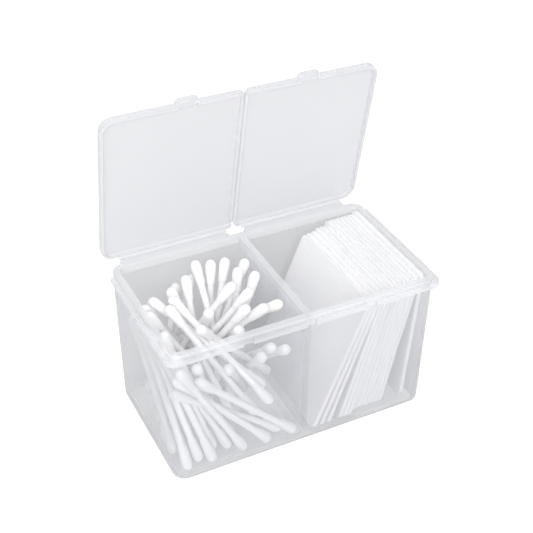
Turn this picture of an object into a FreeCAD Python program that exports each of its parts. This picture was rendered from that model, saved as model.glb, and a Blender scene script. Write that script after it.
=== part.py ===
import FreeCAD, Part
import math
import os
import Sketcher
from FreeCAD import Placement, Rotation, Vector

# Cotton swab and pad storage box: a two-compartment tub with two hinged lids.
# X runs along the box, -Y is the front, Z is up; the origin is under the middle of the tub.

doc = FreeCAD.newDocument("storage_box")
os.makedirs("parts", exist_ok=True)

# name, value in mm (or degrees), what it is
TABLE = (
    ("rim_length", 145.6, "length over the raised rim"),
    ("rim_depth", 80.8, "depth over the raised rim"),
    ("tub_height", 82.6, "height of the tub, foot to rim"),
    ("draft", 1.058, "slope of the tub's walls, in degrees"),
    ("shoulder", 0.6, "how far the wall's top stands outside the rim"),
    ("wall_round", 7.0, "upright corner radius outside"),
    ("foot_round", 3.0, "radius round the foot"),
    ("wall", 2.6, "wall thickness"),
    ("floor", 2.4, "floor thickness"),
    ("room_round", 3.2, "upright corner radius of the mouth"),
    ("floor_round", 1.6, "radius between floor and walls"),
    ("divider", 3.6, "divider thickness"),
    ("divider_root", 0.8, "how far the divider runs into the walls"),
    ("rim_rise", 1.4, "height of the rim over the ledge"),
    ("rim_round", 6.4, "corner radius of the rim"),
    ("rim_edge", 0.5, "radius along the rim's outer top edge"),
    ("bead_in", 1.33, "how far the rim closes in over the room"),
    ("bead_height", 4.0, "straight height of the rim's inner face"),
    ("bead_slope", 1.4, "height of the slope under it"),
    ("ledge_drop", 2.7, "height of the ledge the lids close on"),
    ("ledge_round", 5.5, "front corner radius of the ledge"),
    ("ledge_stop", 7.4, "the side ledges stop this far before the rim's back"),
    ("ledge_edge", 0.5, "radius along the ledge's top edge"),
    ("flange_from", 4.5, "hinge flange, distance from the middle"),
    ("flange_inset", 7.3, "hinge flange, distance from the rim's end"),
    ("flange_thick", 1.6, "thickness of the hinge flange"),
    ("flange_round", 1.5, "outer rear corner radius of the flange"),
    ("flange_sweep", 3.5, "rear corner radius next to the middle"),
    ("notch_x", 33.7, "catch notch position, each side of the middle"),
    ("notch_width", 5.2, "width of a catch notch"),
    ("hinge_reach", 7.0, "hinge line behind the rim"),
    ("hinge_gap", 0.4, "a closed lid's back stops this far before the hinge line"),
    ("film_reach", 1.1, "length of the flexible strip, flange to hinge line"),
    ("film_thick", 0.4, "thickness of the flexible strip"),
    ("film_air", 0.15, "air between the strip's rear edge and the lid"),
    ("lid_height", 4.0, "height of a lid over its skirt"),
    ("lid_panel", 1.3, "thickness of the lid's panel"),
    ("lid_skirt", 1.4, "thickness of the lid's skirt"),
    ("lid_edge", 0.9, "radius round the lid's top"),
    ("lid_seat", 0.15, "air between the ledge and a closed lid"),
    ("lid_apart", 0.8, "gap between the two lids"),
    ("lid_mid_round", 2.7, "corner radius next to the other lid"),
    ("corner_ease", 0.8, "a lid's inner corner is this much tighter than the rim's"),
    ("rim_gap_side", 0.2, "air between rim and skirt at the ends"),
    ("rim_gap_front", 0.6, "air between rim and skirt at the front"),
    ("ledge_show_side", 0.6, "ledge left showing outside a closed lid, at the ends"),
    ("ledge_show_front", 0.2, "ledge left showing at the front"),
    ("mid_air", 0.15, "air between the short skirt and the divider"),
    ("tab_left", 30.3, "pull tab of the left lid, from the middle"),
    ("tab_right", 34.9, "pull tab of the right lid, from the middle"),
    ("tab_width", 12.8, "width of a pull tab"),
    ("tab_out", 2.7, "how far a pull tab stands out"),
    ("tab_round", 3.5, "corner radius of a pull tab"),
    ("open_angle", 79.0, "how far the lids stand open, in degrees"),
    ("pad_thick", 2.0, "cotton pad thickness"),
    ("pad_round", 4.0, "cotton pad corner radius"),
    ("pad_side_gap", 2.5, "mouth of the tub to a pad's side edge"),
    ("pad_headroom", 1.2, "rim above the length of a pad standing upright"),
    ("pad_gap", 0.3, "air between two pads"),
    ("swab_headroom", 5.2, "rim above the length of a swab standing upright"),
    ("tip_radius", 2.9, "radius of a swab's cotton tip"),
    ("tip_neck", 2.2, "radius where the cotton ends"),
    ("tip_long", 13.4, "length of the cotton tip"),
    ("stick_radius", 1.85, "radius of a swab's stick"),
    ("swab_gap", 0.2, "air between two swabs"),
    ("rest_gap", 0.3, "air between the contents and the tub"),
)

sheet = doc.addObject("Spreadsheet::Sheet", "Sizes")
for row, (name, value, note) in enumerate(TABLE, start=1):
    sheet.set("A%d" % row, str(value))
    sheet.setAlias("A%d" % row, name)
    sheet.set("B%d" % row, note)
doc.recompute()


class Size:
    """A number and the expression in the sheet that gives it."""

    def __init__(self, value, text):
        self.value = value
        self.text = text

    def __add__(self, other):
        other = as_size(other)
        return Size(self.value + other.value, "(%s + %s)" % (self.text, other.text))

    def __sub__(self, other):
        other = as_size(other)
        return Size(self.value - other.value, "(%s - %s)" % (self.text, other.text))

    def __mul__(self, other):
        other = as_size(other)
        return Size(self.value * other.value, "%s * %s" % (self.text, other.text))

    def __neg__(self):
        return Size(-self.value, "(0 - %s)" % self.text)


def as_size(number):
    if isinstance(number, Size):
        return number
    return Size(float(number), repr(float(number)))


def slope_of(angle):
    """Run over height of a face leaning this many degrees."""
    return Size(math.tan(math.radians(angle.value)), "tan(%s)" % angle.text)


def angle_of(run, height):
    """Degrees from upright of a face with this run and height."""
    return Size(math.degrees(math.atan2(run.value, height.value)), "atan((%s) / (%s))" % (run.text, height.text))


class Sizes:
    pass


s = Sizes()
for name, value, note in TABLE:
    setattr(s, name, Size(value, "Sizes.%s" % name))



# what follows from them: places measured from the tub's middle and foot
rim_x = s.rim_length * 0.5
rim_y = s.rim_depth * 0.5
rim_level = s.tub_height
ledge_level = rim_level - s.rim_rise
lean = slope_of(s.draft)
wall_top_x = rim_x + s.shoulder
wall_top_y = rim_y + s.shoulder
wall_low_x = wall_top_x - ledge_level * lean
wall_low_y = wall_top_y - ledge_level * lean
bead_level = rim_level - s.bead_height
slope_level = bead_level - s.bead_slope
room_x = wall_low_x - s.wall + slope_level * lean
room_y = wall_low_y - s.wall + slope_level * lean
mouth_x = room_x - s.bead_in
mouth_y = room_y - s.bead_in
lid_outer_x = rim_x + s.rim_gap_side + s.lid_skirt
lid_inner_x = s.lid_apart * 0.5
lid_front = rim_y + s.rim_gap_front + s.lid_skirt
ledge_x = lid_outer_x + s.ledge_show_side
ledge_y = lid_front + s.ledge_show_front
axis_y = rim_y + s.hinge_reach
axis_z = ledge_level
lid_back = axis_y - s.hinge_gap
lid_foot = ledge_level + s.lid_seat
lid_round = s.rim_round + s.lid_skirt - s.corner_ease
flange_to = rim_x - s.flange_inset
flange_end = axis_y - s.film_reach
film_bead = s.hinge_gap - s.film_air
pad_depth = (mouth_y - s.pad_side_gap) * 2.0
pad_tall = rim_level - s.floor - s.pad_headroom
swab_long = rim_level - s.floor - s.swab_headroom


# ---------------------------------------------------------------- helpers

def new_body(label):
    body = doc.addObject("PartDesign::Body", label)
    body.Label = label
    return body


def plane_of(body, role):
    return [f for f in body.Origin.OriginFeatures if f.Role == role][0]


def new_sketch(body, name, level=None, role="XY_Plane"):
    sketch = body.newObject("Sketcher::SketchObject", name)
    sketch.AttachmentSupport = (plane_of(body, role), [""])
    sketch.MapMode = "FlatFace"
    if level is not None:
        level = as_size(level)
        sketch.AttachmentOffset = Placement(Vector(0, 0, level.value), Rotation())
        sketch.setExpression("AttachmentOffset.Base.z", level.text)
    return sketch


def tie(sketch, kind, *places, to):
    to = as_size(to)
    number = sketch.addConstraint(Sketcher.Constraint(kind, *places, to.value))
    sketch.setExpression("Constraints[%d]" % number, to.text)


def rounded(sketch, x0, x1, y0, y1, radii):
    """Closed rectangle; radii run front left, front right, back right, back left; 0 is sharp."""
    x0, x1, y0, y1 = [as_size(v) for v in (x0, x1, y0, y1)]
    radii = [as_size(r) for r in radii]
    corners = ((x0, y0, 1, 1), (x1, y0, -1, 1), (x1, y1, -1, -1), (x0, y1, 1, -1))
    first = sketch.GeometryCount
    ends = []
    for (cx, cy, sx, sy), r in zip(corners, radii):
        across = Vector(cx.value + sx * r.value, cy.value, 0)
        along = Vector(cx.value, cy.value + sy * r.value, 0)
        ends.append((along, across) if sx == sy else (across, along))
    for i in range(4):
        sketch.addGeometry(Part.LineSegment(ends[i][1], ends[(i + 1) % 4][0]))
    for i in range(4):
        sketch.addConstraint(Sketcher.Constraint(("Horizontal", "Vertical")[i % 2], first + i))
    for i, (place, kind) in enumerate(((y0, "DistanceY"), (x1, "DistanceX"),
                                       (y1, "DistanceY"), (x0, "DistanceX"))):
        tie(sketch, kind, -1, 1, first + i, 1, to=place)
    for i, ((cx, cy, sx, sy), r) in enumerate(zip(corners, radii)):
        before, after = first + (i - 1) % 4, first + i
        if r.value == 0:
            sketch.addConstraint(Sketcher.Constraint("Coincident", before, 2, after, 1))
            continue
        centre = Vector(cx.value + sx * r.value, cy.value + sy * r.value, 0)
        start = math.pi * (1 + i / 2)
        arc = Part.ArcOfCircle(Part.Circle(centre, Vector(0, 0, 1), r.value), start, start + math.pi / 2)
        number = sketch.addGeometry(arc)
        sketch.addConstraint(Sketcher.Constraint("Tangent", before, 2, number, 1))
        sketch.addConstraint(Sketcher.Constraint("Tangent", number, 2, after, 1))
        tie(sketch, "Radius", number, to=r)


def same_round(r):
    return (r, r, r, r)


def outline(sketch, points):
    """Closed outline of straight lines through points (x, y), tied to the origin."""
    points = [(as_size(x), as_size(y)) for x, y in points]
    first = sketch.GeometryCount
    count = len(points)
    flat = [Vector(x.value, y.value, 0) for x, y in points]
    for i in range(count):
        sketch.addGeometry(Part.LineSegment(flat[i], flat[(i + 1) % count]))
    for i in range(count):
        sketch.addConstraint(Sketcher.Constraint("Coincident", first + i, 2, first + (i + 1) % count, 1))
    for i, (x, y) in enumerate(points):
        tie(sketch, "DistanceX", -1, 1, first + i, 1, to=x)
        tie(sketch, "DistanceY", -1, 1, first + i, 1, to=y)


def pad(body, sketch, length, down=False, middle=False, taper=None):
    feature = body.newObject("PartDesign::Pad", sketch.Name + "_pad")
    feature.Profile = sketch
    feature.setExpression("Length", as_size(length).text)
    feature.Reversed = down
    feature.Midplane = middle
    if taper is not None:
        feature.setExpression("TaperAngle", taper.text)
    sketch.Visibility = False
    doc.recompute()
    return feature


def pocket(body, sketch, length, up=False, taper=None):
    before = body.Shape.Volume
    feature = body.newObject("PartDesign::Pocket", sketch.Name + "_pocket")
    feature.Profile = sketch
    feature.setExpression("Length", as_size(length).text)
    feature.Reversed = up
    if taper is not None:
        feature.setExpression("TaperAngle", taper.text)
    sketch.Visibility = False
    doc.recompute()
    if body.Shape.Volume >= before - 1e-6:
        raise RuntimeError("%s cuts nothing" % feature.Name)
    return feature


def mirrored(body, features):
    feature = body.newObject("PartDesign::Mirrored", features[0].Name + "_mirror")
    feature.Originals = features
    feature.MirrorPlane = (plane_of(body, "YZ_Plane"), [""])
    body.Tip = feature
    doc.recompute()
    return feature


def fillet(body, radius, choose, name):
    """Round every edge of the body's last feature that choose(edge) takes."""
    base = body.Tip
    names = ["Edge%d" % (i + 1) for i, edge in enumerate(base.Shape.Edges) if choose(edge)]
    feature = body.newObject("PartDesign::Fillet", name)
    feature.Base = (base, names)
    feature.setExpression("Radius", as_size(radius).text)
    doc.recompute()
    return feature


def near(a, b, slack=1e-3):
    return abs(a - b) < slack


def on_front_or_end(edge):
    """On the ledge's front or end edge, or on the rounded corner between them."""
    box = edge.BoundBox
    outermost = max(abs(box.XMin), abs(box.XMax))
    return near(box.YMin, -ledge_y.value) or (near(outermost, ledge_x.value) and box.YLength > 1.0)


def flat_at(edge, level):
    box = edge.BoundBox
    return near(box.ZMin, level) and near(box.ZMax, level)


# ---------------------------------------------------------------- tub

tub = new_body("tub")

foot = new_sketch(tub, "foot_outline", 0.0)
rounded(foot, -wall_low_x, wall_low_x, -wall_low_y, wall_low_y, same_round(s.wall_round))
pad(tub, foot, ledge_level, taper=s.draft)
fillet(tub, s.foot_round, lambda e: flat_at(e, 0.0), "foot_fillet")

sharp = as_size(0.0)
ledge = new_sketch(tub, "ledge_outline", ledge_level)
rounded(ledge, -ledge_x, ledge_x, -ledge_y, rim_y - s.ledge_stop,
        (s.ledge_round, s.ledge_round, sharp, sharp))
pad(tub, ledge, s.ledge_drop, down=True)
fillet(tub, s.ledge_edge, lambda e: flat_at(e, ledge_level.value) and on_front_or_end(e), "ledge_fillet")

rim = new_sketch(tub, "rim_outline", ledge_level)
rounded(rim, -rim_x, rim_x, -rim_y, rim_y, same_round(s.rim_round))
pad(tub, rim, s.rim_rise)
fillet(tub, s.rim_edge, lambda e: flat_at(e, rim_level.value), "rim_fillet")

flange = new_sketch(tub, "flange_outline", ledge_level)
rounded(flange, s.flange_from, flange_to, rim_y - 1.0, flange_end,
        (sharp, sharp, s.flange_round, s.flange_sweep))
flange_pad = pad(tub, flange, s.flange_thick, down=True)
mirrored(tub, [flange_pad])

# the inside, drafted like the outside and closing in under the rim
mouth = new_sketch(tub, "mouth_outline", rim_level)
rounded(mouth, -mouth_x, mouth_x, -mouth_y, mouth_y, same_round(s.room_round))
pocket(tub, mouth, s.bead_height)
slope = new_sketch(tub, "slope_outline", bead_level)
rounded(slope, -mouth_x, mouth_x, -mouth_y, mouth_y, same_round(s.room_round))
pocket(tub, slope, s.bead_slope, taper=angle_of(s.bead_in, s.bead_slope))
room = new_sketch(tub, "room_outline", slope_level)
rounded(room, -room_x, room_x, -room_y, room_y, same_round(s.room_round + s.bead_in))
pocket(tub, room, slope_level - s.floor, taper=-s.draft)
fillet(tub, s.floor_round, lambda e: flat_at(e, s.floor.value), "floor_fillet")

partition = new_sketch(tub, "divider_outline", role="YZ_Plane")
low_y = wall_low_y - s.wall + s.floor * lean + s.divider_root
high_y = room_y + s.divider_root
top_y = mouth_y + s.divider_root
outline(partition, ((-low_y, s.floor - 0.5), (low_y, s.floor - 0.5), (high_y, slope_level),
                    (top_y, rim_level), (-top_y, rim_level), (-high_y, slope_level)))
pad(tub, partition, s.divider, middle=True)

notch = new_sketch(tub, "notch_outline", ledge_level)
for centre in (-s.notch_x, sharp, s.notch_x):
    rounded(notch, centre - s.notch_width * 0.5, centre + s.notch_width * 0.5,
            -ledge_y - 1.0, -wall_top_y - 0.05, same_round(sharp))
pocket(tub, notch, s.ledge_drop)


# ---------------------------------------------------------------- lids, drawn closed

def make_lid(label, side):
    body = new_body(label)

    def span(inner, outer):
        return (inner, outer) if side > 0 else (-outer, -inner)

    def corners(mid, outer):
        return (mid, outer, outer, mid) if side > 0 else (outer, mid, mid, outer)

    x0, x1 = span(lid_inner_x, lid_outer_x)
    plate = new_sketch(body, label + "_outline", lid_foot)
    rounded(plate, x0, x1, -lid_front, lid_back, corners(s.lid_mid_round, lid_round))
    pad(body, plate, s.lid_height)

    half = s.tab_width * 0.5
    middle = s.tab_right if side > 0 else -s.tab_left
    tab = new_sketch(body, label + "_tab", lid_foot)
    rounded(tab, middle - half, middle + half, -lid_front - s.tab_out, -lid_front + 1.0,
            (s.tab_round, s.tab_round, sharp, sharp))
    pad(body, tab, s.lid_height)
    top = lid_foot.value + s.lid_height.value
    fillet(body, s.lid_edge, lambda e: flat_at(e, top), label + "_edge")

    x0, x1 = span(lid_inner_x + s.lid_skirt, lid_outer_x - s.lid_skirt)
    hollow = new_sketch(body, label + "_hollow", lid_foot)
    rounded(hollow, x0, x1, -lid_front + s.lid_skirt, lid_back - s.lid_skirt,
            corners(s.lid_mid_round - s.lid_skirt, lid_round - s.lid_skirt))
    pocket(body, hollow, s.lid_height - s.lid_panel, up=True)

    inset = half - s.lid_skirt
    recess = new_sketch(body, label + "_recess", lid_foot)
    rounded(recess, middle - inset, middle + inset,
            -lid_front - s.tab_out + s.lid_skirt, -lid_front + s.lid_skirt + 0.5,
            (s.tab_round - s.lid_skirt, s.tab_round - s.lid_skirt, sharp, sharp))
    pocket(body, recess, (s.lid_height - s.lid_panel) * 0.5, up=True)

    x0, x1 = span(lid_inner_x - 0.5, lid_inner_x + s.lid_skirt + 0.2)
    short = new_sketch(body, label + "_short_skirt", lid_foot)
    rounded(short, x0, x1, -lid_front + s.lid_skirt, lid_back - s.lid_skirt, same_round(sharp))
    pocket(body, short, s.rim_rise - s.lid_seat + s.mid_air, up=True)

    hinge_line = Vector(0, axis_y.value, axis_z.value)
    body.Placement = Placement(Vector(0, 0, 0), Rotation(Vector(1, 0, 0), -s.open_angle.value), hinge_line)
    doc.recompute()
    return body


lid_left = make_lid("lid_left", -1)
lid_right = make_lid("lid_right", 1)


# ---------------------------------------------------------------- flexible hinge strips

def make_hinge(label, side):
    body = new_body(label)
    section = new_sketch(body, label + "_section", role="YZ_Plane")
    bead = film_bead
    y, z = axis_y, axis_z
    under = z - s.film_thick
    points = ((flange_end, z), (flange_end, under), (lid_back, under), (y, z - bead))
    flat = [Vector(a.value, b.value, 0) for a, b in points]
    back = Vector(y.value, z.value + bead.value, 0)
    meet = Vector(lid_back.value, z.value, 0)
    for a, b in ((flat[0], flat[1]), (flat[1], flat[2]), (flat[2], flat[3])):
        section.addGeometry(Part.LineSegment(a, b))
    turn = Part.Circle(Vector(y.value, z.value, 0), Vector(0, 0, 1), bead.value)
    section.addGeometry(Part.ArcOfCircle(turn, -math.pi / 2, math.pi / 2))
    section.addGeometry(Part.LineSegment(back, meet))
    section.addGeometry(Part.LineSegment(meet, flat[0]))
    for i in range(6):
        section.addConstraint(Sketcher.Constraint("Coincident", i, 2, (i + 1) % 6, 1))
    for i, (a, b) in enumerate(points[:3]):
        tie(section, "DistanceX", -1, 1, i, 1, to=a)
        tie(section, "DistanceY", -1, 1, i, 1, to=b)
    tie(section, "DistanceX", -1, 1, 3, 3, to=y)
    tie(section, "DistanceY", -1, 1, 3, 3, to=z)
    tie(section, "DistanceX", -1, 1, 3, 1, to=y)
    tie(section, "DistanceY", -1, 1, 3, 1, to=z - bead)
    tie(section, "DistanceX", -1, 1, 3, 2, to=y)
    tie(section, "DistanceX", -1, 1, 5, 1, to=lid_back)
    tie(section, "DistanceY", -1, 1, 5, 1, to=z)
    middle = (s.flange_from.value + flange_to.value) / 2
    pad(body, section, flange_to - s.flange_from, middle=True)
    body.Placement = Placement(Vector(side * middle, 0, 0), Rotation())
    doc.recompute()
    return body


hinge_left = make_hinge("hinge_left", -1)
hinge_right = make_hinge("hinge_right", 1)


# ---------------------------------------------------------------- cotton pads

# pads lean in groups toward the end wall: how many, the first and last lean in degrees,
# and how far the group sits toward the back, as a share of its side play
GROUPS = (
    (1, 4.5, 4.5, 0.3),
    (7, 12.6, 13.5, 0.3),
    (3, 15.4, 16.0, -0.9),
    (3, 19.3, 21.7, -1.0),
)

master_pad = new_body("pad_master")
face = new_sketch(master_pad, "pad_outline", role="YZ_Plane")
rounded(face, -pad_depth * 0.5, pad_depth * 0.5, 0.0, pad_tall, same_round(s.pad_round))
pad(master_pad, face, s.pad_thick)


def lean_pads(share):
    """Foot of each pad and its lean, each with its top corner against the one before."""
    thick = s.pad_thick.value
    tall = pad_tall.value
    play = s.pad_side_gap.value - s.rest_gap.value
    placed = []
    for count, first, last, back in GROUPS:
        for i in range(count):
            a = math.radians(share * (first + (last - first) * i / max(count - 1, 1)))
            foot_z = s.floor.value + s.rest_gap.value + thick * math.sin(a)
            top_z = foot_z + tall * math.cos(a) - thick * math.sin(a)
            if placed:
                bx, by, bz, b = placed[-1]
                reach = bx + (top_z - bz) * math.tan(b) - s.pad_gap.value / math.cos(b)
            else:
                reach = mouth_x.value - s.rest_gap.value
            foot_x = reach - thick * math.cos(a) - tall * math.sin(a)
            placed.append((foot_x, play * back, foot_z, a))
    return placed


# the pads stand less aslant where the room is too short for the full lean
room_start = s.divider.value / 2 + s.rest_gap.value
low, high = 0.0, 1.0
if lean_pads(1.0)[-1][0] < room_start:
    for step in range(30):
        half = (low + high) / 2
        low, high = (half, high) if lean_pads(half)[-1][0] >= room_start else (low, half)
else:
    low = 1.0

pads = []
for number, (x, y, z, a) in enumerate(lean_pads(low), start=1):
    link = doc.addObject("App::Link", "pad_%02d" % number)
    link.LinkedObject = master_pad
    link.Label = "pad_%02d" % number
    link.Placement = Placement(Vector(x, y, z), Rotation(Vector(0, 1, 0), math.degrees(a)))
    pads.append(link)


# ---------------------------------------------------------------- swabs

master_swab = new_body("swab_master")
profile = new_sketch(master_swab, "swab_profile", role="XZ_Plane")
taper = math.asin((s.tip_radius.value - s.tip_neck.value) / (s.tip_long.value - s.tip_radius.value))
tip = s.tip_radius.value
full = swab_long.value
neck = s.tip_long.value - 0.9
low_end = Vector(tip * math.cos(taper), tip + tip * math.sin(taper), 0)
ring = Vector(low_end.x - (neck - low_end.y) * math.tan(taper), neck, 0)
stick = Vector(s.stick_radius.value, s.tip_long.value, 0)


def other_end(point):
    return Vector(point.x, full - point.y, 0)


round_tip = Part.Circle(Vector(0, tip, 0), Vector(0, 0, 1), tip)
round_top = Part.Circle(Vector(0, full - tip, 0), Vector(0, 0, 1), tip)
profile.addGeometry(Part.ArcOfCircle(round_tip, -math.pi / 2, taper))
for a, b in ((low_end, ring), (ring, stick), (stick, other_end(stick)),
             (other_end(stick), other_end(ring)), (other_end(ring), other_end(low_end))):
    profile.addGeometry(Part.LineSegment(a, b))
profile.addGeometry(Part.ArcOfCircle(round_top, -taper, math.pi / 2))
profile.addGeometry(Part.LineSegment(Vector(0, full, 0), Vector(0, 0, 0)))
for i in range(8):
    profile.addConstraint(Sketcher.Constraint("Coincident", i, 2, (i + 1) % 8, 1))
tie(profile, "Radius", 0, to=s.tip_radius)
tie(profile, "Radius", 6, to=s.tip_radius)
tie(profile, "DistanceX", -1, 1, 3, 1, to=s.stick_radius)
tie(profile, "DistanceY", -1, 1, 3, 1, to=s.tip_long)
tie(profile, "DistanceX", -1, 1, 3, 2, to=s.stick_radius)
tie(profile, "DistanceY", 3, 2, 7, 1, to=s.tip_long)
tie(profile, "DistanceY", -1, 1, 7, 1, to=swab_long)
profile.addConstraint(Sketcher.Constraint("PointOnObject", 7, 1, -2))
profile.addConstraint(Sketcher.Constraint("Coincident", 7, 2, -1, 1))
profile.addConstraint(Sketcher.Constraint("PointOnObject", 0, 3, -2))
profile.addConstraint(Sketcher.Constraint("PointOnObject", 6, 3, -2))
spin = master_swab.newObject("PartDesign::Revolution", "swab_turned")
spin.Profile = profile
spin.ReferenceAxis = (profile, ["V_Axis"])
spin.Angle = 360
profile.Visibility = False
doc.recompute()

# fans of swabs: how many, then the first and last foot and the first and last head,
# each as a share of the room's free half size from its middle, and how far the others
# hold the fan up: 0 stands on the floor, 1 has its heads as high as an upright swab's
FANS = (
    (6, (-0.05, -1.0), (1.0, -1.0), (-1.0, -0.85), (-1.0, -1.0), 0),
    (3, (-0.3, -0.9), (-0.65, -0.95), (-0.95, -0.45), (-1.0, 0.05), 0),
    (3, (-0.8, -1.0), (-1.0, -0.6), (-1.0, 0.3), (-1.0, 0.85), 0),
    (3, (-1.0, -0.3), (-0.8, 0.5), (-0.5, 0.9), (0.2, 1.0), 0),
    (5, (0.1, 0.4), (1.0, 0.6), (-0.5, -0.95), (0.9, -0.9), 0.2),
    (4, (0.35, -0.3), (0.55, 0.15), (-0.85, 0.75), (-0.95, -0.3), 1),
    (2, (0.2, -0.5), (0.4, -0.2), (-0.57, 0.5), (-0.6, 0.1), 1),
    (3, (0.1, -0.5), (-0.1, -0.5), (-0.24, 0.84), (0.35, 0.95), 1),
    (4, (0.0, -0.3), (-0.3, -0.3), (0.35, 0.6), (0.7, 0.6), 1),
    (3, (-0.4, -0.3), (-0.6, 0.1), (0.6, 0.25), (1.0, -0.1), 1),
    (3, (-0.5, 0.1), (-0.3, 0.4), (0.7, -0.3), (0.95, -0.8), 1),
    (2, (0.2, 0.6), (0.1, 0.5), (0.0, -0.75), (-0.2, -0.7), 1),
)


def closest(p, q, u0, u1, v0, v1):
    """Where the stretch u0..u1 of swab p comes nearest the stretch v0..v1 of swab q."""
    d = p[1] - p[0]
    e = q[1] - q[0]
    r = p[0] - q[0]
    dd, ee, de, dr, er = d.dot(d), e.dot(e), d.dot(e), d.dot(r), e.dot(r)
    square = dd * ee - de * de
    u = (de * er - dr * ee) / square if square > 1e-9 else (u0 + u1) / 2
    u = min(max(u, u0), u1)
    v = min(max((de * u + er) / ee, v0), v1)
    u = min(max((de * v - dr) / dd, u0), u1)
    v = min(max((de * u + er) / ee, v0), v1)
    return u, v, r + d * u - e * v


def settle(rounds=600):
    """Ends of each swab's centre line: pushed apart until no two touch, then none left hanging."""
    tip = s.tip_radius.value
    thin = s.stick_radius.value
    reach = swab_long.value - 2 * tip
    cotton = (s.tip_long.value + 0.6 - tip) / reach
    stretches = ((0.0, cotton, tip), (cotton, 1 - cotton, thin), (1 - cotton, 1.0, tip))
    air = s.rest_gap.value + tip
    foot = s.floor.value + air
    slant = lean.value
    low_x = wall_low_x.value - s.wall.value
    low_y = wall_low_y.value - s.wall.value
    near_x = -s.divider.value / 2 - air
    middle = -(s.divider.value / 2 + mouth_x.value) / 2
    half_x = near_x - middle
    half_y = low_y - air
    under_bead = slope_level.value - tip
    turn = max(0.0, s.room_round.value + s.bead_in.value - air)

    def stand(swab, rise):
        """Keep both ends in the room and the swab its own length."""
        for k in (0, 1):
            x, y, z = swab[k]
            far_x = min(low_x + slant * z, mouth_x.value if z > under_bead else 1e3) - air
            far_y = min(low_y + slant * z, mouth_y.value if z > under_bead else 1e3) - air
            past_x, past_y = -x - far_x + turn, abs(y) - far_y + turn
            past = math.hypot(past_x, past_y)
            if past_x > 0 and past_y > 0 and past > turn:
                x = -far_x + turn - past_x * turn / past
                y = math.copysign(far_y - turn + past_y * turn / past, y)
            swab[k] = Vector(min(max(x, -far_x), near_x), min(max(y, -far_y), far_y), z)
        flat = Vector(swab[1].x - swab[0].x, swab[1].y - swab[0].y, 0)
        excess = flat.Length - 0.8 * reach
        if excess > 0:
            flat = flat * (1 - excess / flat.Length)
        upright = math.sqrt(reach ** 2 - flat.dot(flat))
        swab[0].z = foot + rise * (reach - upright)
        swab[1] = Vector(swab[0].x + flat.x, swab[0].y + flat.y, swab[0].z + upright)

    def between(a, b, t):
        return middle + half_x * (a[0] + (b[0] - a[0]) * t), half_y * (a[1] + (b[1] - a[1]) * t)

    swabs = []
    rises = []
    for count, foot_a, foot_b, head_a, head_b, rise in FANS:
        for i in range(count):
            t = i / (count - 1)
            swab = [Vector(*between(foot_a, foot_b, t), foot), Vector(*between(head_a, head_b, t), reach)]
            stand(swab, rise)
            swabs.append(swab)
            rises.append(rise)
    for step in range(rounds):
        moved = False
        for i in range(len(swabs)):
            for j in range(i + 1, len(swabs)):
                p, q = swabs[i], swabs[j]
                if closest(p, q, 0, 1, 0, 1)[2].Length > 2 * tip + 0.5:
                    continue
                for u0, u1, ru in stretches:
                    for v0, v1, rv in stretches:
                        u, v, apart = closest(p, q, u0, u1, v0, v1)
                        short = ru + rv + s.swab_gap.value - apart.Length
                        if short <= 0:
                            continue
                        moved = moved or short > 1e-3
                        push = apart * (0.55 * short / max(apart.Length, 1e-6))
                        push = push * (1 / ((1 - u) ** 2 + u * u + (1 - v) ** 2 + v * v))
                        p[0] = p[0] + push * (1 - u)
                        p[1] = p[1] + push * u
                        q[0] = q[0] - push * (1 - v)
                        q[1] = q[1] - push * v
        for swab, rise in zip(swabs, rises):
            stand(swab, rise)
        if not moved:
            break

    def air_round(number):
        """Least air between one swab and all the others."""
        return min(closest(swabs[number], other, u0, u1, v0, v1)[2].Length - ru - rv
                   for k, other in enumerate(swabs) if k != number
                   for u0, u1, ru in stretches for v0, v1, rv in stretches)

    for number, swab in enumerate(swabs):
        while rises[number] > 0 and air_round(number) > 2 * s.swab_gap.value:
            rises[number] = max(0.0, rises[number] - 0.02)
            stand(swab, rises[number])
    return swabs


swabs = []
for number, (foot, head) in enumerate(settle()):
    direction = (head - foot).normalize()
    start = foot - direction * s.tip_radius.value
    link = doc.addObject("App::Link", "swab_%02d" % (number + 1))
    link.LinkedObject = master_swab
    link.Label = "swab_%02d" % (number + 1)
    link.Placement = Placement(start, Rotation(Vector(0, 0, 1), direction))
    swabs.append(link)
doc.recompute()


# ---------------------------------------------------------------- check and write

for thing in doc.Objects:
    if "Invalid" in thing.State or "Error" in thing.State:
        raise RuntimeError("%s: %s" % (thing.Name, thing.State))

for node in [tub, lid_left, lid_right, hinge_left, hinge_right] + pads + swabs:
    shape = Part.getShape(node)
    if shape.isNull() or not shape.isValid() or len(shape.Solids) != 1:
        raise RuntimeError("%s is not one good solid" % node.Label)
    shape.exportStep("parts/%s.step" % node.Label)
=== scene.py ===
import math
import bpy
import numpy as np
from mathutils import Matrix, Vector, noise


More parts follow.
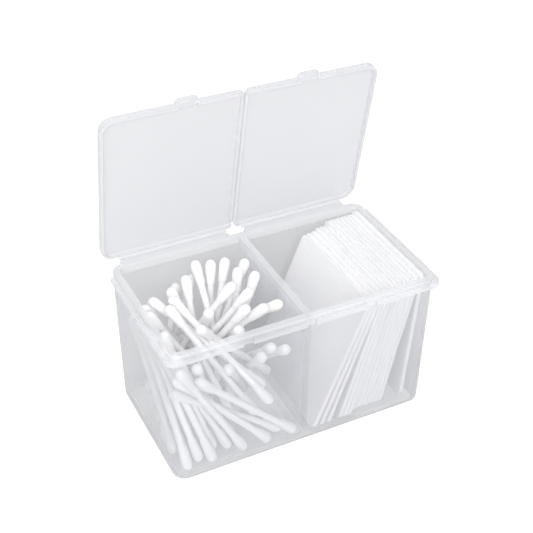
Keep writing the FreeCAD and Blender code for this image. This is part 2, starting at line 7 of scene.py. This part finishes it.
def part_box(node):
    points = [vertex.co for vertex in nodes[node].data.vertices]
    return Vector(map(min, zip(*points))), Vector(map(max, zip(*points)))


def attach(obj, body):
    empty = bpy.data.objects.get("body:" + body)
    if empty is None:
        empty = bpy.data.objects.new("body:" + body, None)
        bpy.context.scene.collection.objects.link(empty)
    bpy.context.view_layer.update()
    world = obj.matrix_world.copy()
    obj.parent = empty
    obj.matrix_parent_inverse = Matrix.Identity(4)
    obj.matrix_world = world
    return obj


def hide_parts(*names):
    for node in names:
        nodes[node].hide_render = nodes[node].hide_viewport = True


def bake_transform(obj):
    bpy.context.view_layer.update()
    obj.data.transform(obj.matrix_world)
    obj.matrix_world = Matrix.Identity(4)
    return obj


MM = 0.001
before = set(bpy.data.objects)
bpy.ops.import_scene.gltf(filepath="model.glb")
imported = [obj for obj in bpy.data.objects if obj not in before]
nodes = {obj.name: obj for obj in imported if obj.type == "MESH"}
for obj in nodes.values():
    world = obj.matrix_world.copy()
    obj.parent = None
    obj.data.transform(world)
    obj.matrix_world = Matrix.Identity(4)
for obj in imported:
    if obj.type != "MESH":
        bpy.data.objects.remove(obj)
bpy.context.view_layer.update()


# ---------------------------------------------------------------- small tools

def deselect():
    if bpy.context.object and bpy.context.object.mode != "OBJECT":
        bpy.ops.object.mode_set(mode="OBJECT")
    bpy.ops.object.select_all(action="DESELECT")


def make_active(piece):
    deselect()
    piece.select_set(True)
    bpy.context.view_layer.objects.active = piece


def settle(piece):
    """Puts a piece's place into its mesh."""
    make_active(piece)
    bpy.ops.object.transform_apply(location=True, rotation=True, scale=True)


def copy_of(piece, name):
    twin = piece.copy()
    twin.data = piece.data.copy()
    twin.name = twin.data.name = name
    bpy.context.scene.collection.objects.link(twin)
    return twin


def corners_of(node):
    mesh = nodes[node].data
    points = np.zeros(len(mesh.vertices) * 3, np.float64)
    mesh.vertices.foreach_get("co", points)
    return points.reshape(-1, 3)


def directions_of(points):
    """The three directions of a cloud of points, the longest first."""
    return np.linalg.svd(points - points.mean(0), full_matrices=False)[2]


# ---------------------------------------------------------------- nodes

def feed(tree, socket, value):
    """Gives an input its value, or the socket that feeds it."""
    if isinstance(value, bpy.types.NodeSocket):
        tree.links.new(value, socket)
    else:
        socket.default_value = value


def give(tree, node, **inputs):
    for key, value in inputs.items():
        feed(tree, node.inputs[key.replace("_", " ")], value)
    return node


def add_node(tree, kind, **inputs):
    return give(tree, tree.nodes.new(kind), **inputs)


def add_group(tree, group, **inputs):
    node = tree.nodes.new("ShaderNodeGroup")
    node.node_tree = group
    return give(tree, node, **inputs)


def calculate(tree, kind, *values):
    """What a math node makes of its values, each a number or a socket."""
    node = tree.nodes.new("ShaderNodeMath")
    node.operation = kind
    for socket, value in zip(node.inputs, values):
        feed(tree, socket, value)
    return node.outputs["Value"]


def ramp(tree, value, low, high, most=1.0):
    """0 at low, most at high, even in between."""
    step = add_node(tree, "ShaderNodeMapRange", Value=value,
                    From_Min=low, From_Max=high, To_Max=most)
    return step.outputs["Result"]


def mix_numbers(tree, share, low, high):
    """low where share is 0, high where it is 1; each a number or a socket."""
    blend = add_node(tree, "ShaderNodeMapRange", Value=share, To_Min=low, To_Max=high)
    return blend.outputs["Result"]


def mix_colours(tree, share, first, second, kind="MIX"):
    """The first colour, with as much of the second as share says."""
    blend = tree.nodes.new("ShaderNodeMix")
    blend.data_type = "RGBA"
    blend.blend_type = kind
    give(tree, blend, Factor=share, A=first, B=second)
    return blend.outputs["Result"]


def darkened(tree, share, colour, darkest, low=0.0, high=1.0):
    """The colour where share is high, and darkest times it where share is low."""
    tone = add_node(tree, "ShaderNodeValToRGB", Fac=share)
    dark, full = tone.color_ramp.elements
    dark.position = low
    dark.color = (*[c * darkest for c in colour], 1)
    full.position = high
    full.color = (*colour, 1)
    return tone.outputs["Color"]


def new_material(name):
    material = bpy.data.materials.new(name)
    material.use_nodes = True
    tree = material.node_tree
    return material, tree, tree.nodes["Principled BSDF"]


def new_group(name, inputs, outputs):
    """A node group, the sockets that bring its inputs, and the node that takes its outputs.

    inputs gives each input's name and the value it starts with, outputs the names."""
    group = bpy.data.node_groups.new(name, "ShaderNodeTree")
    for key, value in inputs.items():
        kind = "NodeSocketFloat" if isinstance(value, float) else "NodeSocketVector"
        socket = group.interface.new_socket(key, in_out="INPUT", socket_type=kind)
        socket.default_value = value
    for key in outputs:
        group.interface.new_socket(key, in_out="OUTPUT", socket_type="NodeSocketFloat")
    given = group.nodes.new("NodeGroupInput").outputs
    return group, given, group.nodes.new("NodeGroupOutput")


# ---------------------------------------------------------------- materials

def moulded_skin_group():
    """Fine uneven skin of moulded plastic: a roughness and a bump height."""
    group, given, out = new_group(
        "moulded_skin",
        {"Grain Scale": 900.0, "Cloud Scale": 60.0, "Smoothest": 0.2, "Roughest": 0.35},
        ("Roughness", "Height"))
    place = group.nodes.new("ShaderNodeTexCoord").outputs["Object"]
    grain = add_node(group, "ShaderNodeTexNoise", Vector=place,
                     Scale=given["Grain Scale"], Detail=3.0)
    cloud = add_node(group, "ShaderNodeTexNoise", Vector=place,
                     Scale=given["Cloud Scale"], Detail=2.0)
    spread = add_node(group, "ShaderNodeMapRange", Value=cloud.outputs["Fac"],
                      From_Min=0.3, From_Max=0.7,
                      To_Min=given["Smoothest"], To_Max=given["Roughest"])
    give(group, out, Roughness=spread.outputs["Result"], Height=grain.outputs["Fac"])
    return group


def fibre_map(tree):
    """The piece's own map, in metres along its surface."""
    place = tree.nodes.new("ShaderNodeUVMap")
    place.uv_map = "fibre"
    return place.outputs["UV"]


def fibre_group():
    """Fine fibres on the piece's own map, finer along an axis where Stretch is large."""
    group, given, out = new_group(
        "fibre",
        {"Stretch": (1.0, 1.0, 1.0), "Scale": 3.0, "Detail": 3.0, "Roughness": 0.5},
        ("Fibre",))
    turn = add_node(group, "ShaderNodeMapping", Vector=fibre_map(group),
                    Scale=given["Stretch"])
    fibres = add_node(group, "ShaderNodeTexNoise", Vector=turn.outputs["Vector"],
                      Scale=given["Scale"], Detail=given["Detail"],
                      Roughness=given["Roughness"])
    give(group, out, Fibre=fibres.outputs["Fac"])
    return group


MOULDED_SKIN = moulded_skin_group()
FIBRE = fibre_group()


def frosted_plastic(name, tint, clear, haze, edge, smooth, rough,
                    thick=None, thick_tint=None, solid=None):
    """Milky plastic: part see-through, part cloudy, and cloudier edge on.

    clear is how much passes as through glass, haze how cloudy it is face on, edge how cloudy
    edge on, and smooth and rough the two ends of the skin's roughness. thick is a function
    that gives the share of thickness; thick_tint and solid are the colour and the
    cloudiness where that share is 1."""
    material, tree, shader = new_material(name)
    skin = add_group(tree, MOULDED_SKIN, Smoothest=smooth, Roughest=rough)
    relief = add_node(tree, "ShaderNodeBump", Strength=0.1, Distance=0.0001,
                      Height=skin.outputs["Height"])
    give(tree, shader, Base_Color=(*tint, 1), IOR=1.3, Transmission_Weight=clear,
         Roughness=skin.outputs["Roughness"], Normal=relief.outputs["Normal"])
    slant = add_node(tree, "ShaderNodeLayerWeight", Blend=0.35)
    body = mix_numbers(tree, slant.outputs["Facing"], haze, edge)
    if thick:
        share = thick(tree)
        body = mix_numbers(tree, share, body, solid)
        colour = mix_colours(tree, share, (*tint, 1), (*thick_tint, 1))
        give(tree, shader, Base_Color=colour)
    give(tree, shader, Alpha=body)
    return material


# the wall between the rooms, in mm from the middle: axis, none beyond, whole within, most
DIVIDER_REACH = (("X", 2.6, 1.9, 1.0), ("Y", 38.6, 37.2, 0.45))
RIM_FROM = 77.6 * MM
RIM_FADE = 1.0 * MM


def thick_in_tub(tree):
    """The rim with its flange, and the wall between the two rooms as far as the outer walls."""
    place = tree.nodes.new("ShaderNodeTexCoord").outputs["Object"]
    axes = add_node(tree, "ShaderNodeSeparateXYZ", Vector=place).outputs
    bounds = []
    for axis, none, whole, most in DIVIDER_REACH:
        off_middle = calculate(tree, "ABSOLUTE", axes[axis])
        bounds.append(ramp(tree, off_middle, none * MM, whole * MM, most))
    divider = calculate(tree, "MULTIPLY", *bounds)
    rim = ramp(tree, axes["Z"], RIM_FROM, RIM_FROM + RIM_FADE)
    return calculate(tree, "MAXIMUM", divider, rim)


LID_OPEN = math.radians(79.0)
HINGE_LINE = Vector((0, 47.4 * MM, 81.2 * MM))
LID_TO_CLOSED = HINGE_LINE - Matrix.Rotation(LID_OPEN, 3, "X") @ HINGE_LINE
PANEL_FROM = 84.0 * MM
PANEL_FADE = 0.3 * MM


def thick_in_lid(tree):
    """The skirt round the lid's panel, found in the closed lid's own upright frame."""
    place = tree.nodes.new("ShaderNodeTexCoord").outputs["Object"]
    turn = add_node(tree, "ShaderNodeMapping", Vector=place,
                    Location=LID_TO_CLOSED, Rotation=(LID_OPEN, 0, 0))
    axes = add_node(tree, "ShaderNodeSeparateXYZ", Vector=turn.outputs["Vector"]).outputs
    return ramp(tree, axes["Z"], PANEL_FROM, PANEL_FROM - PANEL_FADE)


WAVE_REPEAT = math.pi / 10  # the pitch of a wave texture whose scale is 1
# painted shade: how dark the dips of a pad's pressed weave are painted
PAINTED_DIP_SHADE = (0.90, 0.90, 0.91, 1)


def painted_weave_shade(tree, tone, pitch):
    """The tone with painted shade: a little darker in the dips of a weave pressed into the
    cotton.
    """
    waves = []
    for direction in "XY":
        wave = add_node(tree, "ShaderNodeTexWave", Vector=fibre_map(tree),
                        Scale=WAVE_REPEAT / pitch, Distortion=0.6, Detail=1.0)
        wave.bands_direction = direction
        waves.append(wave.outputs["Fac"])
    weave = calculate(tree, "MULTIPLY", *waves)
    return mix_colours(tree, weave, tone, PAINTED_DIP_SHADE, kind="MULTIPLY")


def cotton(name, colour, stretch, scale, bump, rows=None):
    """Loose cotton fibre along the piece's own map; rows is the pitch of a pressed weave, whose
    dips get painted shade.
    """
    material, tree, shader = new_material(name)
    fibres = add_group(tree, FIBRE, Stretch=stretch, Scale=scale, Detail=6.0, Roughness=0.7)
    fibres = fibres.outputs["Fibre"]
    relief = add_node(tree, "ShaderNodeBump", Strength=bump, Distance=0.0002, Height=fibres)
    tone = darkened(tree, fibres, colour, 0.93, low=0.3, high=0.62)
    if rows:
        # painted shade in the dips of the pressed weave
        tone = painted_weave_shade(tree, tone, rows)
    give(tree, shader, Base_Color=tone, Roughness=0.95, Sheen_Weight=0.3,
         Sheen_Roughness=0.6, Specular_IOR_Level=0.2, Normal=relief.outputs["Normal"])
    return material


def rolled_paper(name, colour):
    """The swab's stick: smooth rolled paper with faint rings of grain."""
    material, tree, shader = new_material(name)
    grain = add_group(tree, FIBRE, Stretch=(1.0, 260.0, 1.0), Scale=3.0, Detail=3.0,
                      Roughness=0.5)
    tone = darkened(tree, grain.outputs["Fibre"], colour, 0.96)
    give(tree, shader, Base_Color=tone, Roughness=0.45)
    return material


RIB = 1.32 * MM  # the pitch of the ribs pressed into a pad

tub_plastic = frosted_plastic("tub_plastic", (0.690, 0.702, 0.742),
                              clear=0.10, haze=0.11, edge=0.50, smooth=0.06, rough=0.14,
                              thick=thick_in_tub, thick_tint=(0.865, 0.872, 0.902), solid=0.42)
lid_plastic = frosted_plastic("lid_plastic", (0.845, 0.854, 0.885),
                              clear=0.15, haze=0.25, edge=0.80, smooth=0.08, rough=0.16,
                              thick=thick_in_lid, thick_tint=(0.805, 0.812, 0.848), solid=0.55)
hinge_plastic = frosted_plastic("hinge_plastic", (0.890, 0.896, 0.920),
                                clear=0.30, haze=0.70, edge=0.95, smooth=0.10, rough=0.20)
pad_cotton = cotton("pad_cotton", (0.905, 0.905, 0.917), stretch=(1.0, 1.0, 1.0),
                    scale=2200.0, bump=0.5, rows=RIB)
tip_cotton = cotton("tip_cotton", (0.912, 0.912, 0.922), stretch=(1.0, 3.0, 1.0),
                    scale=1400.0, bump=0.35)
stick_paper = rolled_paper("stick_paper", (0.93, 0.93, 0.94))


def finish_node(node, material):
    piece = nodes[node]
    piece.data.materials.clear()
    piece.data.materials.append(material)


finish_node("tub", tub_plastic)
finish_node("lid_left", lid_plastic)
finish_node("lid_right", lid_plastic)


# ---------------------------------------------------------------- swabs

SWAB_MM = 75.0
SWAB_LONG = SWAB_MM * MM
# height along the swab and radius there, in mm, from the tip to the middle of the stick
SWAB_PROFILE = ((0.0, 0.35), (0.12, 0.85), (0.45, 1.5), (1.0, 2.05), (1.7, 2.45),
                (2.5, 2.7), (3.4, 2.83), (4.6, 2.82), (6.0, 2.72), (7.4, 2.6),
                (8.8, 2.5), (10.2, 2.4), (11.5, 2.3), (12.3, 2.2), (12.8, 2.08),
                (13.15, 1.92), (13.35, 1.82), (13.6, 1.78), (25.0, 1.78), (37.5, 1.78))
COTTON_LONG = 13.2 * MM  # from each tip, where the stick's own faces begin
WOUND_LONG = 13.0 * MM  # how far the lumps of the winding reach from each tip
WOUND_FADE = 2 * MM
WOUND_MM = 0.14  # how high the lumps are
TIP_MIDDLE = 1.2 * MM  # nearer the axis than this the lumps fade out
ROUND_TO_MAP = 2.5 * MM  # one radian round the swab, on its map
SPIN_STEP = 2.4  # radians that each swab is turned past the one before
AROUND = 20  # corners round the swab


def turned_swab():
    """One swab standing on the origin: rings drawn out of a disc, tip to tip."""
    rings = list(SWAB_PROFILE)
    rings += [(SWAB_MM - z, r) for z, r in reversed(SWAB_PROFILE[:-1])]
    deselect()
    bpy.ops.mesh.primitive_circle_add(vertices=AROUND, radius=rings[0][1] * MM,
                                      fill_type="NGON")
    piece = bpy.context.object
    piece.name = "swab"
    bpy.ops.object.mode_set(mode="EDIT")
    bpy.ops.mesh.select_all(action="SELECT")
    for (z0, r0), (z1, r1) in zip(rings, rings[1:]):
        bpy.ops.mesh.extrude_region_move(TRANSFORM_OT_translate={"value": (0, 0, (z1 - z0) * MM)})
        bpy.ops.transform.resize(value=(r1 / r0, r1 / r0, 1))
    bpy.ops.mesh.select_all(action="SELECT")
    bpy.ops.mesh.normals_make_consistent(inside=False)
    bpy.ops.object.mode_set(mode="OBJECT")
    mesh = piece.data
    mesh.materials.append(stick_paper)
    mesh.materials.append(tip_cotton)
    layer = mesh.uv_layers.new(name="fibre")
    for face in mesh.polygons:
        in_tip = face.center.z < COTTON_LONG or face.center.z > SWAB_LONG - COTTON_LONG
        face.material_index = 1 if in_tip else 0
        face.use_smooth = True
        turn = math.atan2(face.center.y, face.center.x)
        for corner in face.loop_indices:
            point = mesh.vertices[mesh.loops[corner].vertex_index].co
            angle = math.atan2(point.y, point.x)
            if angle - turn > math.pi:
                angle -= 2 * math.pi
            if turn - angle > math.pi:
                angle += 2 * math.pi
            layer.data[corner].uv = (angle * ROUND_TO_MAP, point.z)
    return piece


def unevenness(point, scale, shift):
    """Soft lumps without order, the same each time for one shift; scale is lumps per metre."""
    return noise.noise(Vector([c * s for c, s in zip(point, scale)]) + shift)


def wound(piece, seed):
    """Cotton is never wound quite evenly: each tip gets its own small lumps."""
    shift = Vector((seed * 7.31, seed * 3.17, seed * 1.73))
    for vertex in piece.data.vertices:
        p = vertex.co
        reach = min(p.z, SWAB_LONG - p.z)
        if reach > WOUND_LONG:
            continue
        side = Vector((p.x, p.y, 0))
        lump = unevenness(p, (420, 420, 260), shift)
        lump += 0.5 * unevenness(p, (900, 900, 700), shift)
        fade = min(1.0, side.length / TIP_MIDDLE) * min(1.0, (WOUND_LONG - reach) / WOUND_FADE)
        if side.length > 0:
            vertex.co = p + side.normalized() * lump * WOUND_MM * MM * fade


def place_swabs():
    master = turned_swab()
    names = sorted(n for n in nodes if n.startswith("swab_"))
    for number, node in enumerate(names):
        points = corners_of(node)
        centre = points.mean(0)
        axis = directions_of(points)[0]
        along = (points - centre) @ axis
        ends = (along.min(), along.max())
        if axis[2] < 0:
            axis, ends = -axis, (-ends[1], -ends[0])
        foot = Vector(centre + axis * ends[0])
        piece = copy_of(master, node + "_wound")
        wound(piece, number + 1)
        turn = Vector((0, 0, 1)).rotation_difference(Vector(axis))
        stand = Matrix.Translation(foot) @ turn.to_matrix().to_4x4()
        spin = Matrix.Rotation(number * SPIN_STEP, 4, "Z")
        piece.data.transform(stand @ spin)
        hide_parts(node)
        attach(piece, "tub")
    bpy.data.objects.remove(master)


# ---------------------------------------------------------------- cotton pads

PAD_WIDE = 69.0 * MM
PAD_TALL = 79.0 * MM
PAD_THICK = 2.22 * MM
PAD_CORNER = 2.6 * MM
PAD_EDGE = 0.16 * MM  # how far its edges are rounded
PAD_COLUMNS = 30
PAD_ROWS = 181
RIB_FROM_EDGE = 2.5 * MM
RIB_DEPTH = 0.13 * MM
PUFF_DEPTH = 0.1 * MM
WAVY_FROM_EDGE = 0.6 * MM
# how far the outline waves out and in, how much finer waves add, and how far it lies in, in mm
WAVE_MM, FINE_MM, LIES_IN_MM = 0.2, 0.1, 0.14


def flat_pad():
    """One pad lying flat, middle at the origin: a round-cornered sheet given its thickness."""
    deselect()
    bpy.ops.mesh.primitive_grid_add(x_subdivisions=PAD_COLUMNS, y_subdivisions=PAD_ROWS,
                                    size=1.0)
    piece = bpy.context.object
    piece.name = "pad"
    piece.scale = (PAD_WIDE, PAD_TALL, 1)
    settle(piece)
    reach_x = PAD_WIDE / 2 - PAD_CORNER
    reach_y = PAD_TALL / 2 - PAD_CORNER
    for vertex in piece.data.vertices:
        x, y = vertex.co.x, vertex.co.y
        out_x, out_y = abs(x) - reach_x, abs(y) - reach_y
        if out_x > 0 and out_y > 0:
            far = max(out_x, out_y)
            angle = math.atan2(out_y, out_x)
            vertex.co.x = math.copysign(reach_x + far * math.cos(angle), x)
            vertex.co.y = math.copysign(reach_y + far * math.sin(angle), y)
    thicken = piece.modifiers.new("thickness", "SOLIDIFY")
    thicken.thickness = PAD_THICK
    thicken.offset = 0
    make_active(piece)
    bpy.ops.object.modifier_apply(modifier="thickness")
    rim = piece.modifiers.new("soft_edge", "BEVEL")
    rim.width = PAD_EDGE
    rim.segments = 2
    rim.limit_method = "ANGLE"
    rim.angle_limit = math.radians(60)
    bpy.ops.object.modifier_apply(modifier="soft_edge")
    mesh = piece.data
    mesh.materials.append(pad_cotton)
    layer = mesh.uv_layers.new(name="fibre")
    for face in mesh.polygons:
        face.use_smooth = True
        for corner in face.loop_indices:
            point = mesh.vertices[mesh.loops[corner].vertex_index].co
            layer.data[corner].uv = (point.x, point.y + point.z)
    return piece


def quilted(piece, seed):
    """Fine ribs across the faces, and a soft wavy outline."""
    shift = Vector((seed * 5.3, seed * 2.9, seed * 4.1))
    for vertex in piece.data.vertices:
        p = vertex.co.copy()
        side = 1 if p.z > 0 else -1
        edge_x = PAD_WIDE / 2 - abs(p.x)
        edge_y = PAD_TALL / 2 - abs(p.y)
        edge = max(0.0, min(edge_x, edge_y))
        inner = min(1.0, edge / RIB_FROM_EDGE)
        rib = 0.5 - 0.5 * math.cos(2 * math.pi * p.y / RIB)
        puff = noise.noise(Vector((p.x * 60, p.y * 60, seed)) + shift)
        vertex.co.z -= side * inner * (RIB_DEPTH * (1 - rib) + PUFF_DEPTH * abs(puff))
        if edge < WAVY_FROM_EDGE:
            wave = unevenness(p, (110, 110, 900), shift)
            fine = unevenness(p, (170, 170, 1500), shift)
            pull = (WAVE_MM * wave + FINE_MM * fine - LIES_IN_MM) * MM
            if edge_x < edge_y:
                vertex.co.x += math.copysign(pull, p.x)
            else:
                vertex.co.y += math.copysign(pull, p.y)
    piece.data.update()


def place_pads():
    master = flat_pad()
    names = sorted(n for n in nodes if n.startswith("pad_"))
    for number, node in enumerate(names):
        points = corners_of(node)
        centre = (points.min(0) + points.max(0)) / 2
        normal = directions_of(points)[2]
        if normal[0] > 0:
            normal = -normal
        out = Vector(normal).normalized()
        wide = Vector((0, -1, 0))
        tall = out.cross(wide)
        piece = copy_of(master, node + "_cotton")
        quilted(piece, number + 1)
        turn = Matrix((wide, tall, out)).transposed().to_4x4()
        piece.data.transform(Matrix.Translation(Vector(centre)) @ turn)
        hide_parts(node)
        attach(piece, "tub")
    bpy.data.objects.remove(master)


# ---------------------------------------------------------------- flexible hinge strips

# the strip seen from its end, in mm: back and up, from the flange to the open lid
STRIP_PATH = ((45.6, 81.32), (46.4, 81.32), (46.9, 81.3), (47.25, 81.34),
              (47.42, 81.5), (47.44, 81.75), (47.38, 82.1), (47.3, 82.6))
STRIP_THICK = 0.25 * MM
STRIP_STEPS = 60


def hinge_strip(node):
    """A thin strip from the rear flange round the hinge line to the lid's edge."""
    low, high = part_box(node)
    rows = len(STRIP_PATH) - 1
    deselect()
    bpy.ops.mesh.primitive_grid_add(x_subdivisions=STRIP_STEPS, y_subdivisions=rows, size=1.0)
    piece = bpy.context.object
    piece.name = node + "_strip"
    for vertex in piece.data.vertices:
        along = vertex.co.x + 0.5
        y, z = STRIP_PATH[round((vertex.co.y + 0.5) * rows)]
        vertex.co = Vector((low.x + (high.x - low.x) * along, y * MM, z * MM))
    thicken = piece.modifiers.new("thickness", "SOLIDIFY")
    thicken.thickness = STRIP_THICK
    thicken.offset = 0
    make_active(piece)
    bpy.ops.object.modifier_apply(modifier="thickness")
    bpy.ops.object.mode_set(mode="EDIT")
    bpy.ops.mesh.select_all(action="SELECT")
    bpy.ops.mesh.normals_make_consistent(inside=False)
    bpy.ops.object.mode_set(mode="OBJECT")
    piece.data.materials.append(hinge_plastic)
    bpy.ops.object.shade_smooth_by_angle(angle=math.radians(40))
    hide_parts(node)
    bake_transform(piece)


place_swabs()
place_pads()
hinge_strip("hinge_left")
hinge_strip("hinge_right")


# ---------------------------------------------------------------- stage, light and camera

WORLD_LIGHT = 0.52
WORLD_BEHIND = 0.86
FLOOR_BEHIND = 0.00
FLOOR_TONE = 0.76
FLOOR_WHITE = 0.48
CAMERA_AT = Vector((-0.20768, -0.40222, 0.40932))
CAMERA_AIM = Vector((0.005167, 0.017306, 0.073536))
CAMERA_ROLL = math.radians(0.72)


def background_white(tree, strength_socket, lighting, behind, white):
    """White to the camera, in gloss and in clear pieces; its plain tone behind cloudy plastic.

    lighting is what it gives to the object, behind is what the camera sees through the
    plastic, and white is what the camera sees beside the object."""
    path = tree.nodes.new("ShaderNodeLightPath").outputs
    through = calculate(tree, "GREATER_THAN", path["Transparent Depth"], 0.5)
    behind_plastic = calculate(tree, "MULTIPLY", path["Is Camera Ray"], through)
    beside = calculate(tree, "SUBTRACT", path["Is Camera Ray"], behind_plastic)
    shiny = calculate(tree, "MAXIMUM", path["Is Glossy Ray"], path["Is Transmission Ray"])
    plain = mix_numbers(tree, behind_plastic, lighting, behind)
    whitened = calculate(tree, "MAXIMUM", beside, shiny)
    feed(tree, strength_socket, mix_numbers(tree, whitened, plain, white))


def set_stage():
    deselect()
    bpy.ops.mesh.primitive_plane_add(size=6.0, location=(0, 0, 0))
    floor = bpy.context.object
    floor.name = "floor"
    settle(floor)
    material, tree, shader = new_material("floor_paper")
    give(tree, shader, Base_Color=(FLOOR_TONE, FLOOR_TONE, FLOOR_TONE, 1), Roughness=0.9,
         Specular_IOR_Level=0.1, Emission_Color=(1, 1, 1, 1))
    background_white(tree, shader.inputs["Emission Strength"],
                     lighting=0.0, behind=FLOOR_BEHIND, white=FLOOR_WHITE)
    floor.data.materials.append(material)

    world = bpy.data.worlds.new("studio")
    bpy.context.scene.world = world
    world.use_nodes = True
    background = world.node_tree.nodes["Background"]
    background.inputs["Color"].default_value = (1, 1, 1, 1)
    background_white(world.node_tree, background.inputs["Strength"],
                     lighting=WORLD_LIGHT, behind=WORLD_BEHIND, white=1.0)


def soft_lamp(name, place, aim, size, power):
    data = bpy.data.lights.new(name, "AREA")
    data.shape = "RECTANGLE"
    data.size, data.size_y = size
    data.energy = power
    lamp = bpy.data.objects.new(name, data)
    bpy.context.scene.collection.objects.link(lamp)
    lamp.location = place
    lamp.rotation_euler = (Vector(aim) - Vector(place)).to_track_quat("-Z", "Y").to_euler()


def set_camera():
    data = bpy.data.cameras.new("view")
    data.sensor_width = 36.0
    data.lens = 74.5
    camera = bpy.data.objects.new("view", data)
    bpy.context.scene.collection.objects.link(camera)
    look = (CAMERA_AIM - CAMERA_AT).to_track_quat("-Z", "Y").to_matrix()
    roll = Matrix.Rotation(CAMERA_ROLL, 3, "Z")
    camera.rotation_euler = (look @ roll).to_euler()
    camera.location = CAMERA_AT
    bpy.context.scene.camera = camera


set_stage()
soft_lamp("top_softbox", place=(-0.25, -0.2, 1.1), aim=(0, 0, 0.05),
          size=(0.5, 0.5), power=3.00)
soft_lamp("front_softbox", place=(-0.5, -1.2, 0.8), aim=(0, 0, 0.04),
          size=(1.6, 0.9), power=17.20)
soft_lamp("rear_softbox", place=(0.3, 0.9, 0.8), aim=(0, 0, 0.08),
          size=(0.8, 0.6), power=0.60)
set_camera()
bpy.context.scene.view_settings.view_transform = "Standard"
